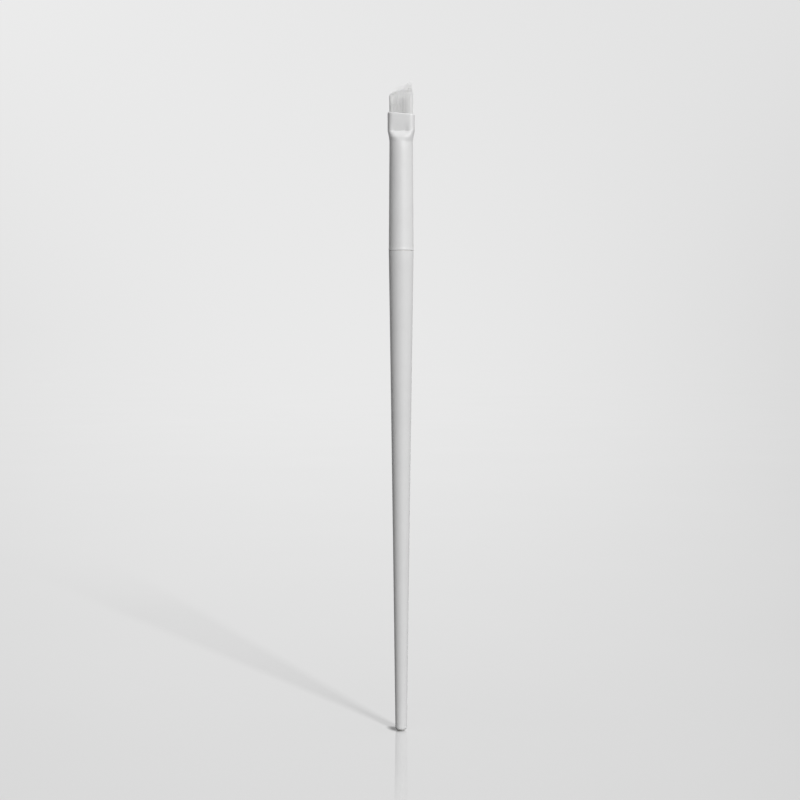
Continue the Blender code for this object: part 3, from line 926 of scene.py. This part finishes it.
def butt_shade(tree, place):
    """1 in the open and less in an ellipse at the butt, on the side away from the lamp: a painted contact
    shadow.
    """
    along = reckon_vector(tree, "DOT_PRODUCT", place, facing(KEY_AZIMUTH) * -1.0)
    across = reckon_vector(tree, "DOT_PRODUCT", place, facing(KEY_AZIMUTH + math.pi / 2.0))
    along = reckon(tree, "DIVIDE", reckon(tree, "SUBTRACT", along, CONTACT_START), CONTACT_LENGTH)
    across = reckon(tree, "DIVIDE", reckon(tree, "SUBTRACT", across, CONTACT_SIDE_STEP), CONTACT_WIDTH)
    off = reckon(tree, "ADD", reckon(tree, "POWER", along, 2.0), reckon(tree, "POWER", across, 2.0))
    return spread(tree, reckon(tree, "SQRT", off), *CONTACT_FADE, 1.0 - CONTACT_SHADE, 1.0, smooth=True)


def floor_material(backdrop):
    """A pale, slightly glossy floor that keeps the brush's shadow and meets the backdrop without a line.

    Its own light is the tone it should show less what the gloss, the lamp and the surroundings give it.
    Diffuse rays get a small share of that light, on the picture's right only. The gloss is kept to the
    brush's surroundings and to low views, and far out the floor is plain light.
    """
    material, tree, shader, place = new_material("pale_floor")
    tree.nodes.remove(shader)
    ahead = reckon_vector(tree, "SUBTRACT", place, camera_place(), output="Vector")
    far_tone = place_group(tree, backdrop, Direction=ahead)["Tone"]
    level = floor_level(tree, place, far_tone)
    away = reckon_vector(tree, "DISTANCE", place)
    fresnel = feed(tree, add_node(tree, "ShaderNodeFresnel"), IOR=FLOOR_IOR).outputs[0]
    gloss = spread(tree, fresnel, *FLOOR_FRESNEL_SPAN, 0.0, FLOOR_GLOSS)
    gloss = reckon(tree, "MULTIPLY", gloss, spread(tree, away, *FLOOR_GLOSS_REACH, 1.0, 0.0))
    own = reckon(tree, "SUBTRACT", level, reckon(tree, "MULTIPLY", gloss, far_tone))
    own = reckon(tree, "DIVIDE", own, reckon(tree, "SUBTRACT", 1.0, gloss))
    own = reckon(tree, "SUBTRACT", own, floor_lit(tree, place))
    side = reckon_vector(tree, "DOT_PRODUCT", place, camera_right())
    bounce = spread(tree, side, 0.0, FLOOR_BOUNCE_REACH, 0.0, FLOOR_BOUNCE)
    shown = reckon(tree, "MULTIPLY", own, reckon(tree, "MAXIMUM", seen_directly(tree), bounce))
    # Painted contact shadow: the floor's glow and its colour are darkened in an ellipse at the butt
    painted_shadow_factor = butt_shade(tree, place)
    shown = reckon(tree, "MULTIPLY", shown, painted_shadow_factor)
    glow = feed(tree, add_node(tree, "ShaderNodeEmission"), Strength=shown)
    pale = tinted(tree, FLOOR_COLOUR, painted_shadow_factor)
    matt = feed(tree, add_node(tree, "ShaderNodeBsdfDiffuse"), Color=pale)
    both = feed(tree, add_node(tree, "ShaderNodeAddShader"), i0=matt.outputs[0], i1=glow.outputs[0])
    sheen = add_node(tree, "ShaderNodeBsdfAnisotropic")
    feed(tree, sheen, Color=WHITE, Roughness=FLOOR_ROUGHNESS)
    layered = mix_shaders(tree, gloss, both, sheen)
    far_glow = feed(tree, add_node(tree, "ShaderNodeEmission"), Strength=level)
    whole = mix_shaders(tree, spread(tree, away, *FLOOR_FADE, smooth=True), layered, far_glow)
    feed(tree, tree.nodes["Material Output"], Surface=whole.outputs[0])
    return material


def add_floor(material):
    """A level disc: rings of shrinking radius round the brush, closed by a point at the middle."""
    radius = FLOOR_RADIUS * np.array(FLOOR_RING_SHARES)[:, None]
    x, y = radius * np.cos(around(FLOOR_SIDES)), radius * np.sin(around(FLOOR_SIDES))
    rings = np.stack((x, y, np.full(x.shape, -FLOOR_DROP)), axis=-1)
    points = np.concatenate((rings.reshape(-1, 3), rings[-1].mean(axis=0)[None, :]))
    count = len(FLOOR_RING_SHARES)
    fan = fan_faces((count - 1) * FLOOR_SIDES, FLOOR_SIDES, count * FLOOR_SIDES)
    floor = new_object("floor", points, loop_faces(count, FLOOR_SIDES).tolist() + fan.tolist(), material)


def add_camera():
    """The camera that takes the photo's view."""
    data = bpy.data.cameras.new("camera")
    data.lens = CAMERA_LENS
    data.clip_start, data.clip_end = CAMERA_CLIP
    camera = bpy.data.objects.new("camera", data)
    camera.location = camera_place()
    camera.rotation_euler = (math.pi / 2.0 + CAMERA_TILT, 0.0, CAMERA_AZIMUTH)
    bpy.context.scene.collection.objects.link(camera)
    bpy.context.scene.camera = camera


def add_lamp():
    """A rectangular lamp that faces the middle of the brush and isn't seen itself."""
    data = bpy.data.lights.new("key", "AREA")
    data.shape = "RECTANGLE"
    data.size, data.size_y = KEY_SIZE
    data.energy = KEY_POWER
    lamp = bpy.data.objects.new("key", data)
    lamp.location = key_place()
    lamp.rotation_euler = (lamp.location - BRUSH_MIDDLE).to_track_quat("Z", "Y").to_euler()
    lamp.visible_camera = False
    bpy.context.scene.collection.objects.link(lamp)


def dress(node, material):
    """Gives a solid that stays in view its finish."""
    for place in frame["nodes"][node].material_slots:
        place.material = material


coat = sprayed_coat_group()
grain = lengthwise_grain_group()
wear = worn_edge_group()
resin = cured_resin_group()
set_resin = resin_amber(
    resin, "set_resin", "resin", cloud_scale=900.0, bubble_scale=2600.0, roughness=0.28
)
tenon_adhesive = resin_amber(
    resin, "tenon_adhesive", "adhesive", cloud_scale=600.0, bubble_scale=3400.0, roughness=0.38
)

points, faces = capped_points_and_faces(turned(handle_profile()))
add_piece("handle_body", points, faces, handle_lacquer(coat, grain, wear), "handle_lacquer", "handle")

shell = ferrule_rings()
faces = loop_faces(*shell.shape[:2], closed=True).tolist()
add_piece("ferrule_shell", shell, faces, ferrule_coating(coat, grain, wear), "ferrule_coating", "ferrule")

points, strand_tone = tuft_points(np.random.default_rng(FILAMENT_SEED))
faces = filament_faces(len(points), len(FILAMENT_RADIUS_SHARES))
tuft = add_piece("tuft_filaments", points, faces, filament_white(), "filament", "bristle_tuft")
tuft.data.attributes.new("strand_tone", "FLOAT", "POINT").data.foreach_set("value", strand_tone)

points, faces = capped_points_and_faces(slice_rings())
add_piece("root_slice", points, faces, set_resin, "resin", "bristle_tuft")

dress("root_plug", set_resin)
dress("tenon_glue", tenon_adhesive)

backdrop = backdrop_group()
dress_world(backdrop)
add_floor(floor_material(backdrop))
add_camera()
add_lamp()
bpy.context.scene.view_settings.view_transform = "Standard"
